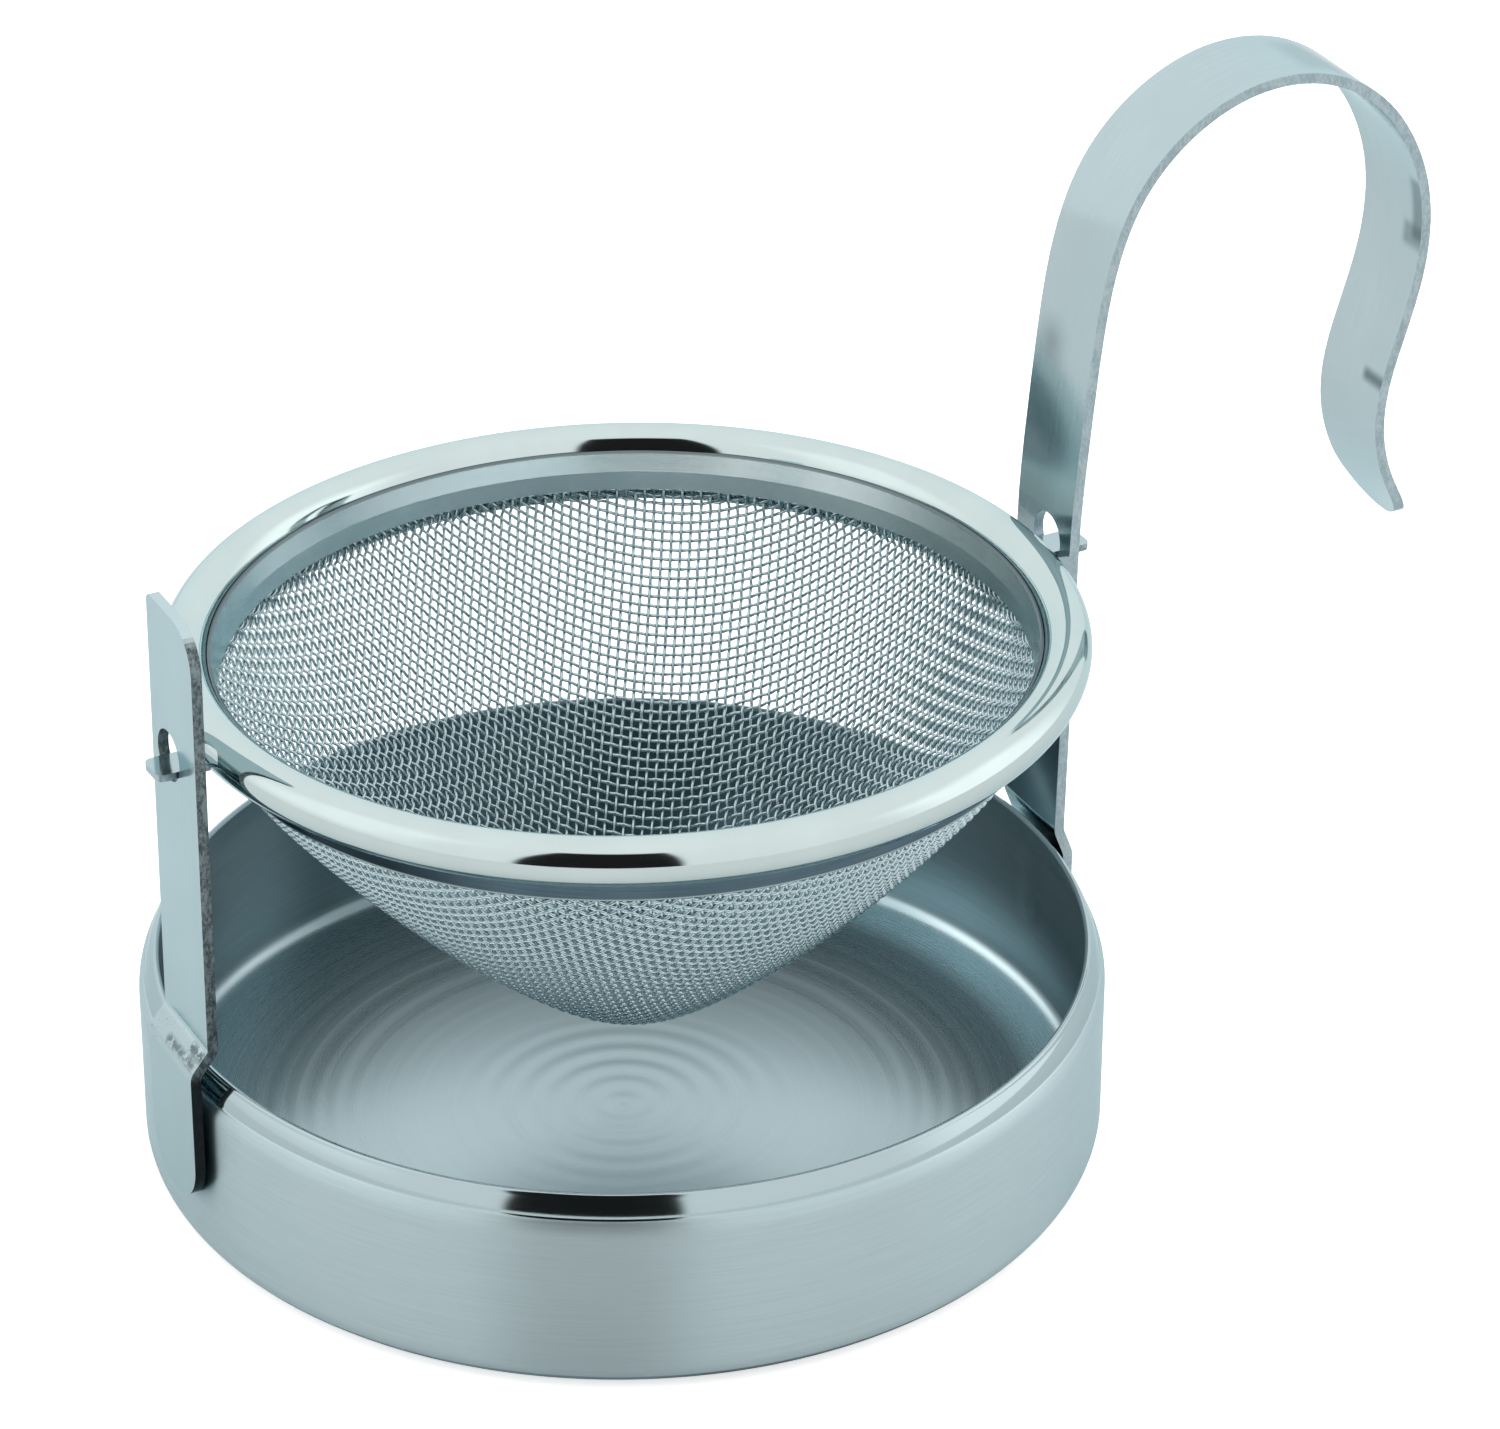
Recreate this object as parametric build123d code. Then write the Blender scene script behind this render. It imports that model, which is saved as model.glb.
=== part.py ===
from build123d import *
import math
import os

# A tea strainer hanging between two upright strips over its drip bowl. One strip is a short
# arm, the other rises into a hooked handle. Lugs on the strainer's rim rest in the arms' holes.
# Frame: origin at the centre of the bowl's underside, +Z up, pivot axis along X,
# handle on the +X side. Millimetres.

# ---------------------------------------------------------------- dimensions
# drip bowl
bowl_radius = 40.0            # outside of the wall
bowl_height = 17.7
bowl_sheet = 0.6
bowl_corner_radius = 2.2      # outside radius between floor and wall
neck_start_z = 14.3           # the wall begins to draw in here
band_bottom_z = 15.75         # lower edge of the polished rim band
band_bottom_radius = 39.58
band_step = 0.06              # the polished band sits this much inside the brushed wall
band_step_height = 0.03
rim_radius = 38.8
rim_edge_width = 0.56         # sheet width just below the rounded top edge
rim_edge_rise = 0.25          # height of that rounding

# the two upright strips
strip_thickness = 0.9
strip_width = 8.65
foot_inner_x = 40.02          # inner face of both feet, 0.02 clear of the wall
foot_bottom_z = 5.5
foot_end_radius = 4.1         # height of the round foot end
hole_radius = 2.15
pivot_z = 44.9
half_thickness = strip_thickness / 2
half_width = strip_width / 2
foot_middle_x = foot_inner_x + half_thickness

short_arm_centre_y = -1.05    # the strip's centre line; the hole stays on y = 0
short_arm_top_z = 57.9
short_arm_joggle = (18.35, 20.25)          # heights where the joggle starts and ends
short_arm_x_above_joggle = -38.90          # mid-thickness
short_arm_x_top = -38.72
short_arm_bend_radius = 1.1
large_corner_width = 3.6      # top corner on the -Y edge
large_corner_height = 3.4
large_corner_middle = (1.15, 0.95)         # in from the edge, down from the top
small_corner_radius = 0.8     # top corner on the +Y edge

handle_arm_centre_y = 0.58
handle_arm_joggle = (15.9, 18.3)
handle_arm_x_above_joggle = 39.55          # mid-thickness
handle_arm_bend_radius = 1.4

# (x, z) along the middle of the hook's thickness, from the pivot height to the tip
hook_line = [
    (40.10, 44.6), (40.92, 56.0), (41.80, 64.2), (42.90, 70.2), (45.35, 76.2),
    (49.90, 80.9), (56.00, 83.45), (62.00, 83.2), (67.30, 80.45), (71.15, 75.5),
    (72.95, 69.8), (72.75, 63.4), (71.25, 57.8), (69.95, 53.0), (69.75, 49.0),
    (70.85, 44.6), (73.60, 39.5),
]
hook_tip_direction = (0.50, -0.866)
hook_samples = 64
tip_round_height = 4.2        # length over which the hook's end narrows to a round tip
tip_below_line = 0.25         # lowest point of the tip below the end of the hook line
tip_cut_margin = 2            # the tip cutter reaches this far past each edge
tip_cut_depth = 3             # and this far below the tip

# strainer: rim, hoop, cloth and lugs, drawn level and then tipped about the pivot axis
strainer_x = 0.55             # the strainer hangs about midway between the two strips
strainer_z = 45.0             # height of the bead's centre line
rest_tilt = -1.4              # degrees about X; the +Y side hangs lower
bead_ring_radius = 35.58      # centre line of the bead
bead_radius = 1.96
rim_sheet = 0.4
skirt_outer_radius = 34.28
skirt_inner_radius = skirt_outer_radius - rim_sheet
skirt_drop = 4.3              # from the bead's centre line down to the skirt's lower edge
skirt_bevel = 0.1
skirt_overlap = 0.25          # how far the skirt runs up into the bead
cloth_thickness = 0.5
cloth_gap = 0.03              # air left on each side of the cloth
hoop_sheet = 0.35
hoop_outer_radius = skirt_inner_radius - cloth_thickness - 2 * cloth_gap
hoop_inner_radius = hoop_outer_radius - hoop_sheet
hoop_bottom = -3.0            # relative to the bead's centre line
hoop_bevel = 0.12
hoop_flare = -1.3             # above this height the hoop leans out to meet the bead
hoop_top = 0.5
hoop_to_bead = 0.05           # air left between the hoop's upper edge and the bead

# basket, heights relative to the bead's centre line
cloth_top = -1.45             # upper edge of the cloth, under the bead
cloth_wall_bottom = -4.3      # the upright edge of the cloth ends here
cloth_wall_radius = 33.80     # measured radius of that edge
# (outer radius, height) from below the upright edge to the start of the round tip
basket_line = [
    (33.35, -5.3), (31.95, -7.4), (29.55, -10.5), (27.00, -13.55), (24.30, -16.6),
    (21.45, -19.6), (18.45, -22.6), (15.20, -25.6), (11.70, -28.6), (8.60, -31.0),
    (6.00, -32.7), (3.20, -34.1),
]
basket_tip = -34.75
basket_samples = 36
blend_points = 3              # the fit to the skirt fades out by this point of the line

# lugs: flat tongues in the lower part of the round holes
lug_half_width = 1.55
lug_bottom_z = 43.55
lug_thickness = 0.6
lug_corner_radius = 0.7
short_lug_end_x = -40.85
handle_lug_end_x = 43.0
lug_root_radius = 34.9        # inner end of the lug, inside the hollow bead

# spot welds between bowl and strips
nugget_radius = 1.5
nugget_heights = (8.6, 12.2)
nugget_in_wall = 0.26
nugget_in_strip = 0.40
electrode_mark_radius = 1.7
electrode_mark_depth = 0.05
mark_cutter_reach = 1.0       # the mark's cutter starts this far inside the wall

# welds through skirt, cloth and hoop
hoop_nugget_count = 6
hoop_nugget_first_angle = 30
hoop_nugget_radius = 0.6
hoop_nugget_inset = 0.15      # from the hoop's inside and from the skirt's outside
hoop_nugget_height = -2.45    # relative to the bead's centre line

cos45 = math.sqrt(0.5)


# ---------------------------------------------------------------- helpers
def direction(start, end):
    """Unit vector from start to end."""
    across, up = end[0] - start[0], end[1] - start[1]
    length = math.hypot(across, up)
    return (across / length, up / length)


def offset_point(point, along, distance):
    return (point[0] + along[0] * distance, point[1] + along[1] * distance)


def outline(start, *steps):
    """Segments of a closed outline. A point is reached by a line; a list of points
    by a curve through them. A line closes the outline where it is still open."""
    segments, point = [], start
    for step in steps:
        points = step if isinstance(step, list) else [step]
        segments.append((point, *points))
        point = points[-1]
    if point != start:
        segments.append((point, start))
    return segments


def draw(segments, spline_tangents=None):
    """Draw each tuple of points: two make a line, three an arc, more a spline."""
    for points in segments:
        if len(points) == 2:
            Line(*points)
        elif len(points) == 3:
            ThreePointArc(*points)
        else:
            Spline(*points, tangents=spline_tangents)


def revolved(segments, spline_tangents=None):
    """Solid of revolution about Z from an (r, z) outline."""
    with BuildPart() as body:
        with BuildSketch(Plane.XZ):
            with BuildLine():
                draw(segments, spline_tangents)
            make_face()
        revolve(axis=Axis.Z)
    return body.part


def yz_prism(segments, x0, x1):
    """Prism along X from x0 to x1 over a (y, z) outline."""
    with BuildSketch(Plane.YZ) as section:
        with BuildLine():
            draw(segments)
        make_face()
    return Pos(x0, 0, 0) * extrude(section.sketch.face(), x1 - x0, dir=(1, 0, 0))


def cylinder_x(radius, x0, x1, y, z):
    return Pos((x0 + x1) / 2, y, z) * Rot(0, 90, 0) * Cylinder(radius, abs(x1 - x0))


def cut_each(body, tools):
    for tool in tools:
        body = body - tool
    return body


def offset_samples(curve, count, distance):
    """Points at even steps along a curve, moved to its left by distance."""
    points = []
    for i in range(count + 1):
        point, tangent = curve.position_at(i / count), curve.tangent_at(i / count)
        points.append(offset_point((point.X, point.Y), (-tangent.Y, tangent.X), distance))
    return points


# ---------------------------------------------------------------- strips
def strip_edges(middle_line, bend_radius):
    """Left and right edge segments of a strip whose middle line is a polyline
    with round bends."""
    directions = [direction(a, b) for a, b in zip(middle_line, middle_line[1:])]
    normals = [(-d[1], d[0]) for d in directions]
    sides = {1: [], -1: []}
    start = middle_line[0]
    for i, corner in enumerate(middle_line[1:-1]):
        before, after = directions[i], directions[i + 1]
        turn = math.atan2(
            before[0] * after[1] - before[1] * after[0],
            before[0] * after[0] + before[1] * after[1],
        )
        turn_sign = 1 if turn > 0 else -1
        setback = bend_radius * math.tan(abs(turn) / 2)
        bend_start = offset_point(corner, before, -setback)
        bend_end = offset_point(corner, after, setback)
        centre = offset_point(bend_start, normals[i], turn_sign * bend_radius)
        outward = direction(centre, corner)
        for side, segments in sides.items():
            shift = side * half_thickness
            line_start = offset_point(start, normals[i], shift)
            arc_start = offset_point(bend_start, normals[i], shift)
            arc_middle = offset_point(centre, outward, bend_radius - turn_sign * shift)
            arc_end = offset_point(bend_end, normals[i + 1], shift)
            segments.append((line_start, arc_start))
            segments.append((arc_start, arc_middle, arc_end))
        start = bend_end
    for side, segments in sides.items():
        ends = (start, middle_line[-1])
        shift = side * half_thickness
        segments.append(tuple(offset_point(end, normals[-1], shift) for end in ends))
    return sides[1], sides[-1]


def strip_prism(left, right, centre_y, spline_tangents=None):
    """The strip's side view in XZ, closed at both ends and given its width."""
    ends = [(left[0][0], right[0][0]), (left[-1][-1], right[-1][-1])]
    with BuildPart() as body:
        with BuildSketch(Plane.XZ):
            with BuildLine():
                draw(left + right + ends, spline_tangents)
            make_face()
        extrude(amount=strip_width)          # Plane.XZ faces -Y
    return Pos(0, centre_y + half_width, 0) * body.part


def round_end_steps(centre_y, bottom_z, height):
    """Two arcs in YZ under a strip's end, from its +Y edge to its -Y edge."""
    shoulder_z = bottom_z + height
    across = half_width * cos45
    middle_z = shoulder_z - height * cos45
    return (
        [(centre_y + across, middle_z), (centre_y, bottom_z)],
        [(centre_y - across, middle_z), (centre_y - half_width, shoulder_z)],
    )


def make_short_arm(nuggets):
    left, right = strip_edges(
        [
            (-foot_middle_x, foot_bottom_z),
            (-foot_middle_x, short_arm_joggle[0]),
            (short_arm_x_above_joggle, short_arm_joggle[1]),
            (short_arm_x_top, short_arm_top_z),
        ],
        short_arm_bend_radius,
    )
    arm = strip_prism(left, right, short_arm_centre_y)

    low_y, high_y = short_arm_centre_y - half_width, short_arm_centre_y + half_width
    top_z = short_arm_top_z
    shoulder_z = foot_bottom_z + foot_end_radius
    inset, drop = large_corner_middle
    corner = small_corner_radius
    face_outline = outline(
        (low_y, shoulder_z),
        (low_y, top_z - large_corner_height),
        [(low_y + inset, top_z - drop), (low_y + large_corner_width, top_z)],
        (high_y - corner, top_z),
        [
            (high_y - corner + corner * cos45, top_z - corner + corner * cos45),
            (high_y, top_z - corner),
        ],
        (high_y, shoulder_z),
        *round_end_steps(short_arm_centre_y, foot_bottom_z, foot_end_radius),
    )
    arm = arm & yz_prism(face_outline, -46, -34)
    arm = arm - cylinder_x(hole_radius, -42, -36, 0, pivot_z)
    return cut_each(arm, nuggets)


def make_handle_arm(nuggets):
    above_joggle = (handle_arm_x_above_joggle, handle_arm_joggle[1])
    left, right = strip_edges(
        [
            (foot_middle_x, foot_bottom_z),
            (foot_middle_x, handle_arm_joggle[0]),
            above_joggle,
            hook_line[0],
        ],
        handle_arm_bend_radius,
    )
    # the hook carries on in the direction of the straight strip
    tangents = [Vector(*direction(above_joggle, hook_line[0])), Vector(*hook_tip_direction)]
    hook = Spline(*hook_line, tangents=tangents)
    left.append(tuple(offset_samples(hook, hook_samples, half_thickness)))
    right.append(tuple(offset_samples(hook, hook_samples, -half_thickness)))
    arm = strip_prism(left, right, handle_arm_centre_y, tangents)

    # round foot end; the outline's top is well above the hook
    low_y, high_y = handle_arm_centre_y - half_width, handle_arm_centre_y + half_width
    shoulder_z = foot_bottom_z + foot_end_radius
    above_hook_z = 100
    foot_outline = outline(
        (low_y, shoulder_z),
        (low_y, above_hook_z),
        (high_y, above_hook_z),
        (high_y, shoulder_z),
        *round_end_steps(handle_arm_centre_y, foot_bottom_z, foot_end_radius),
    )
    arm = arm & yz_prism(foot_outline, 36, 80)

    # round tip of the hook, cut along X at the end of the descending leg
    tip_z = hook_line[-1][1] - tip_below_line
    tip_shoulder_z = tip_z + tip_round_height
    cutter_bottom_z = tip_z - tip_cut_depth
    tip_outline = outline(
        (high_y + tip_cut_margin, cutter_bottom_z),
        (high_y + tip_cut_margin, tip_shoulder_z),
        (high_y, tip_shoulder_z),
        *round_end_steps(handle_arm_centre_y, tip_z, tip_round_height),
        (low_y - tip_cut_margin, tip_shoulder_z),
        (low_y - tip_cut_margin, cutter_bottom_z),
    )
    arm = arm - yz_prism(tip_outline, 64, 82)
    arm = arm - cylinder_x(hole_radius, 37, 43, 0, pivot_z)
    return cut_each(arm, nuggets)


# ---------------------------------------------------------------- drip bowl and its welds
def make_arm_nuggets(side, y):
    """Weld nuggets joining wall and foot; side is -1 or 1 along X."""
    x_in_wall = side * (bowl_radius - nugget_in_wall)
    x_in_strip = side * (foot_inner_x + nugget_in_strip)
    return [cylinder_x(nugget_radius, x_in_wall, x_in_strip, y, z) for z in nugget_heights]


def make_electrode_marks(side, y):
    """Cutters for the shallow round marks on the inside of the wall."""
    inside = bowl_radius - bowl_sheet
    x0, x1 = side * (inside - mark_cutter_reach), side * (inside + electrode_mark_depth)
    return [cylinder_x(electrode_mark_radius, x0, x1, y, z) for z in nugget_heights]


def make_bowl(short_nuggets, handle_nuggets):
    inside = bowl_radius - bowl_sheet
    floor_radius = bowl_radius - bowl_corner_radius
    outer_bend = bowl_corner_radius
    inner_bend = outer_bend - bowl_sheet
    band_radius = band_bottom_radius - band_step
    rim_edge_z = bowl_height - rim_edge_rise
    bowl = revolved(outline(
        (0, 0),
        (floor_radius, 0),
        [
            (floor_radius + outer_bend * cos45, outer_bend - outer_bend * cos45),
            (bowl_radius, outer_bend),
        ],
        (bowl_radius, neck_start_z),
        # neck, step and polished band on the outside
        [(bowl_radius - 0.105, neck_start_z + 0.75), (band_bottom_radius, band_bottom_z)],
        (band_radius, band_bottom_z + band_step_height),
        [(39.20, 16.72), (rim_radius, rim_edge_z)],
        # rounded top edge
        [(rim_radius - rim_edge_width / 2, bowl_height),
         (rim_radius - rim_edge_width, rim_edge_z)],
        # band and neck on the inside
        [(38.62, 16.55), (39.02, 15.55)],
        [(inside - 0.08, neck_start_z + 0.45), (inside, neck_start_z - 0.3)],
        (inside, outer_bend),
        [
            (floor_radius + inner_bend * cos45, outer_bend - inner_bend * cos45),
            (floor_radius, bowl_sheet),
        ],
        (0, bowl_sheet),
    ))
    for side, y, nuggets in (
        (-1, short_arm_centre_y, short_nuggets),
        (1, handle_arm_centre_y, handle_nuggets),
    ):
        bowl = cut_each(bowl, make_electrode_marks(side, y))
        bowl = cut_each(bowl, nuggets)
    return bowl


# ---------------------------------------------------------------- strainer
# Rim, hoop and basket are drawn about their own axis, with z = 0 at the bead's centre line.
def make_rim():
    """Hollow bead with the skirt sheet running up into its underside."""
    with BuildPart() as bead:
        with BuildSketch(Plane.XZ):
            with Locations((bead_ring_radius, 0)):
                Circle(bead_radius)
                Circle(bead_radius - rim_sheet, mode=Mode.SUBTRACT)
        revolve(axis=Axis.Z)
    # height at which the skirt's outside meets the bead's outer surface
    meeting_z = -math.sqrt(bead_radius**2 - (bead_ring_radius - skirt_outer_radius) ** 2)
    skirt_top = meeting_z + skirt_overlap
    skirt = revolved(outline(
        (skirt_inner_radius, -skirt_drop + skirt_bevel),
        (skirt_inner_radius + skirt_bevel, -skirt_drop),
        (skirt_outer_radius - skirt_bevel, -skirt_drop),
        (skirt_outer_radius, -skirt_drop + skirt_bevel),
        (skirt_outer_radius, skirt_top),
        (skirt_inner_radius, skirt_top),
    ))
    return bead.part + skirt


def make_hoop():
    """Lies against the cloth; its upper edge leans out over the cloth's cut edge."""
    lip_radius = bead_ring_radius - math.sqrt((bead_radius + hoop_to_bead) ** 2 - hoop_top**2)
    return revolved(outline(
        (hoop_inner_radius, hoop_bottom + hoop_bevel),
        (hoop_inner_radius + hoop_bevel, hoop_bottom),
        (hoop_outer_radius, hoop_bottom),
        (hoop_outer_radius, hoop_flare),
        (lip_radius, hoop_top),
        (lip_radius - 0.15, hoop_top + 0.03),
        (lip_radius - 0.32, hoop_top - 0.12),
        (hoop_inner_radius, hoop_flare + 0.08),
    ))


def make_basket():
    """Cloth cup: upright clamped edge, curved side and a tip that is part of a sphere."""
    outer_radius = skirt_inner_radius - cloth_gap
    inner_radius = outer_radius - cloth_thickness
    # the side is shifted to meet the clamped edge, less and less over its first points
    fit = outer_radius - cloth_wall_radius
    side_line = [
        (r + fit * max(0.0, 1 - i / blend_points), z)
        for i, (r, z) in enumerate(basket_line, start=1)
    ]
    tip_start = side_line[-1]
    cap_angle = 2 * math.atan((tip_start[1] - basket_tip) / tip_start[0])
    cap_radius = tip_start[0] / math.sin(cap_angle)
    cap_inner_radius = cap_radius - cloth_thickness
    cap_centre_z = basket_tip + cap_radius

    def cap_point(radius, angle):
        return (radius * math.sin(angle), cap_centre_z - radius * math.cos(angle))

    tangents = [Vector(0, -1), Vector(-math.cos(cap_angle), -math.sin(cap_angle))]
    outer = [(outer_radius, cloth_wall_bottom), *side_line]
    samples = offset_samples(Spline(*outer, tangents=tangents), basket_samples, -cloth_thickness)
    # both ends are set exactly, to meet the upright edge and the tip
    inner = [
        (inner_radius, cloth_wall_bottom),
        *samples[1:-1],
        cap_point(cap_inner_radius, cap_angle),
    ]
    outer_top, inner_top = (outer_radius, cloth_top), (inner_radius, cloth_top)
    outer_tip, inner_tip = (0.0, basket_tip), (0.0, basket_tip + cloth_thickness)
    return revolved(
        [
            (outer_top, outer[0]),
            outer,
            (tip_start, cap_point(cap_radius, cap_angle / 2), outer_tip),
            (outer_tip, inner_tip),
            (inner_tip, cap_point(cap_inner_radius, cap_angle / 2), inner[-1]),
            inner,
            (inner[0], inner_top),
            (inner_top, outer_top),
        ],
        tangents,
    )


def make_lug(root_x, end_x):
    """Flat tongue with a rounded free end, in the frame of the whole object."""
    lug = Box(abs(end_x - root_x), 2 * lug_half_width, lug_thickness)
    lug = Pos((root_x + end_x) / 2, 0, lug_bottom_z + lug_thickness / 2) * lug
    upright_edges = lug.edges().filter_by(Axis.Z)
    free_end = upright_edges.filter_by(lambda edge: abs(edge.center().X - end_x) < 0.01)
    return fillet(free_end, lug_corner_radius)


def make_hoop_nuggets():
    nuggets = []
    for i in range(hoop_nugget_count):
        nugget = cylinder_x(
            hoop_nugget_radius,
            hoop_inner_radius + hoop_nugget_inset,
            skirt_outer_radius - hoop_nugget_inset,
            0,
            hoop_nugget_height,
        )
        angle = hoop_nugget_first_angle + 360 / hoop_nugget_count * i
        nuggets.append(Rot(0, 0, angle) * nugget)
    return nuggets


# ---------------------------------------------------------------- build the pieces
short_nuggets = make_arm_nuggets(-1, short_arm_centre_y)
handle_nuggets = make_arm_nuggets(1, handle_arm_centre_y)
bowl = make_bowl(short_nuggets, handle_nuggets)
short_arm = make_short_arm(short_nuggets)
handle_arm = make_handle_arm(handle_nuggets)

place = Pos(strainer_x, 0, strainer_z)
short_lug = make_lug(strainer_x - lug_root_radius, short_lug_end_x)
handle_lug = make_lug(strainer_x + lug_root_radius, handle_lug_end_x)
hoop_nuggets = [place * nugget for nugget in make_hoop_nuggets()]
rim = cut_each(place * make_rim(), [short_lug, handle_lug, *hoop_nuggets])
hoop = cut_each(place * make_hoop(), hoop_nuggets)
basket = cut_each(place * make_basket(), hoop_nuggets)

# tips the hanging strainer about the pivot axis
tilt = Pos(0, 0, pivot_z) * Rot(rest_tilt, 0, 0) * Pos(0, 0, -pivot_z)

pieces = {
    "drip_bowl": bowl,
    "short_arm": short_arm,
    "handle_arm": handle_arm,
    "short_arm_weld_nuggets": Compound(children=short_nuggets),
    "handle_arm_weld_nuggets": Compound(children=handle_nuggets),
    "strainer_rim": tilt * rim,
    "inner_hoop": tilt * hoop,
    "mesh_basket": tilt * basket,
    "short_arm_lug": tilt * short_lug,
    "handle_arm_lug": tilt * handle_lug,
    "hoop_weld_nuggets": Compound(children=[tilt * nugget for nugget in hoop_nuggets]),
}
os.makedirs("parts", exist_ok=True)
for name, piece in pieces.items():
    export_step(piece, f"parts/{name}.step")
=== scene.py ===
# A steel tea strainer over its drip bowl. The bowl stands on z = 0 about the Z axis. The strainer,
# a rolled rim with a woven cup, hangs in it slightly tipped about an axis along X. A short strip
# arm stands on the -X side and the handle strip arm on the +X side.
# Shapes are worked out in millimetres and turned into metres as meshes are made.
import math

import bpy
import numpy as np
from mathutils import Matrix


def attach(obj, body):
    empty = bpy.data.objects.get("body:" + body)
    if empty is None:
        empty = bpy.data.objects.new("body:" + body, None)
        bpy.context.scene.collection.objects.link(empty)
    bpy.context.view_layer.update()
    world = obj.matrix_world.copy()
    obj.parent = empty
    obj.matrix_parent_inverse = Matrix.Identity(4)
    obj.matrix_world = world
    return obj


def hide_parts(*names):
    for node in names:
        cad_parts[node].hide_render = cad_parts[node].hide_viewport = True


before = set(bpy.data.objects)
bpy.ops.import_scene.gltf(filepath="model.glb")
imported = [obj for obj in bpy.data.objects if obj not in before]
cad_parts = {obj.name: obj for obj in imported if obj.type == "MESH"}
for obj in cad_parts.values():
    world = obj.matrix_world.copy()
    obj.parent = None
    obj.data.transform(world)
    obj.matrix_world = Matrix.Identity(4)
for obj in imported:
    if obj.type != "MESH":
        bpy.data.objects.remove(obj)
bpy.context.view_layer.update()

MM = 0.001

# The strainer is drawn level about its own axis, moved to STRAINER, then tipped by TILT
# about an axis along X at height PIVOT_Z.
STRAINER = np.array([0.55, 0.0, 45.0])
PIVOT_Z = 44.9
TILT = math.radians(-1.4)
COS_TILT, SIN_TILT = math.cos(TILT), math.sin(TILT)

# Middle of each strip arm across its width
SHORT_ARM_Y = -1.05
HANDLE_ARM_Y = 0.58


def place(points):
    """Strainer-local millimetres to row-frame metres."""
    p = np.asarray(points, float) + STRAINER
    p[..., 2] -= PIVOT_Z
    y = COS_TILT * p[..., 1] - SIN_TILT * p[..., 2]
    z = SIN_TILT * p[..., 1] + COS_TILT * p[..., 2]
    p[..., 1], p[..., 2] = y, z + PIVOT_Z
    return p * MM


# ------------------------------------------------------------------ mesh helpers
def new_mesh(name, verts, faces, smooth=True):
    """verts (n, 3) metres, faces a list of (m, k) index arrays."""
    mesh = bpy.data.meshes.new(name)
    loops = np.concatenate([f.ravel() for f in faces]).astype(np.int32)
    sizes = np.concatenate([np.full(len(f), f.shape[1]) for f in faces]).astype(np.int32)
    starts = np.concatenate([[0], np.cumsum(sizes)[:-1]]).astype(np.int32)
    mesh.vertices.add(len(verts))
    mesh.vertices.foreach_set("co", np.asarray(verts, np.float32).ravel())
    mesh.loops.add(len(loops))
    mesh.loops.foreach_set("vertex_index", loops)
    mesh.polygons.add(len(sizes))
    mesh.polygons.foreach_set("loop_start", starts)
    mesh.polygons.foreach_set("loop_total", sizes)
    mesh.polygons.foreach_set("use_smooth", np.full(len(sizes), smooth))
    mesh.update(calc_edges=True)
    mesh.validate()
    ob = bpy.data.objects.new(name, mesh)
    bpy.context.scene.collection.objects.link(ob)
    return ob


def band_faces(rings, sides, closed=False):
    """Quads between successive rings of vertices; closed joins the last ring to the first."""
    this = np.arange(rings if closed else rings - 1)[:, None] * sides
    following = (this + sides) % (rings * sides)
    j = np.arange(sides)[None]
    beside = (j + 1) % sides
    quads = [this + j, this + beside, following + beside, following + j]
    return np.stack(quads, -1).reshape(-1, 4)


# ------------------------------------------------------------------ cup surface
# Outer outline of the cup from the rim down: (radius, height)
BASKET = [
    (33.85, -4.3), (33.383, -5.3), (31.967, -7.4), (29.55, -10.5), (27.0, -13.55),
    (24.3, -16.6), (21.45, -19.6), (18.45, -22.6), (15.2, -25.6), (11.7, -28.6),
    (8.6, -31.0), (6.0, -32.7), (3.2, -34.1),
]
TIP_Z = -34.75
WALL_TOP = 3.0         # the surface is carried straight up to here
HALF_CLOTH = 0.25
CENTRE_Z = -1.0        # the outline is star-shaped about (0, CENTRE_Z)


def clamped_spline(p, start_slope, end_slope, per_span):
    """C2 cubic through the rows of p with given unit end tangents."""
    p = np.asarray(p, float)
    h = np.linalg.norm(np.diff(p, axis=0), axis=1)
    count = len(p)
    system = np.zeros((count, count))
    rhs = np.zeros_like(p)
    system[0, 0] = system[-1, -1] = 1
    rhs[0], rhs[-1] = start_slope, end_slope
    for k in range(1, count - 1):
        system[k, k - 1:k + 2] = h[k], 2 * (h[k - 1] + h[k]), h[k - 1]
        rhs[k] = 3 * (h[k] * (p[k] - p[k - 1]) / h[k - 1] + h[k - 1] * (p[k + 1] - p[k]) / h[k])
    slope = np.linalg.solve(system, rhs)
    out = []
    u = np.linspace(0, 1, per_span, endpoint=False)[:, None]
    for k in range(count - 1):
        out.append((1 + 2 * u) * (1 - u) ** 2 * p[k] + u * (1 - u) ** 2 * h[k] * slope[k]
                   + u * u * (3 - 2 * u) * p[k + 1] + u * u * (u - 1) * h[k] * slope[k + 1])
    out.append(p[-1:])
    return np.concatenate(out)


def unit_slopes(points):
    slopes = np.gradient(points, axis=0)
    return slopes / np.linalg.norm(slopes, axis=1)[:, None]


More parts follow.
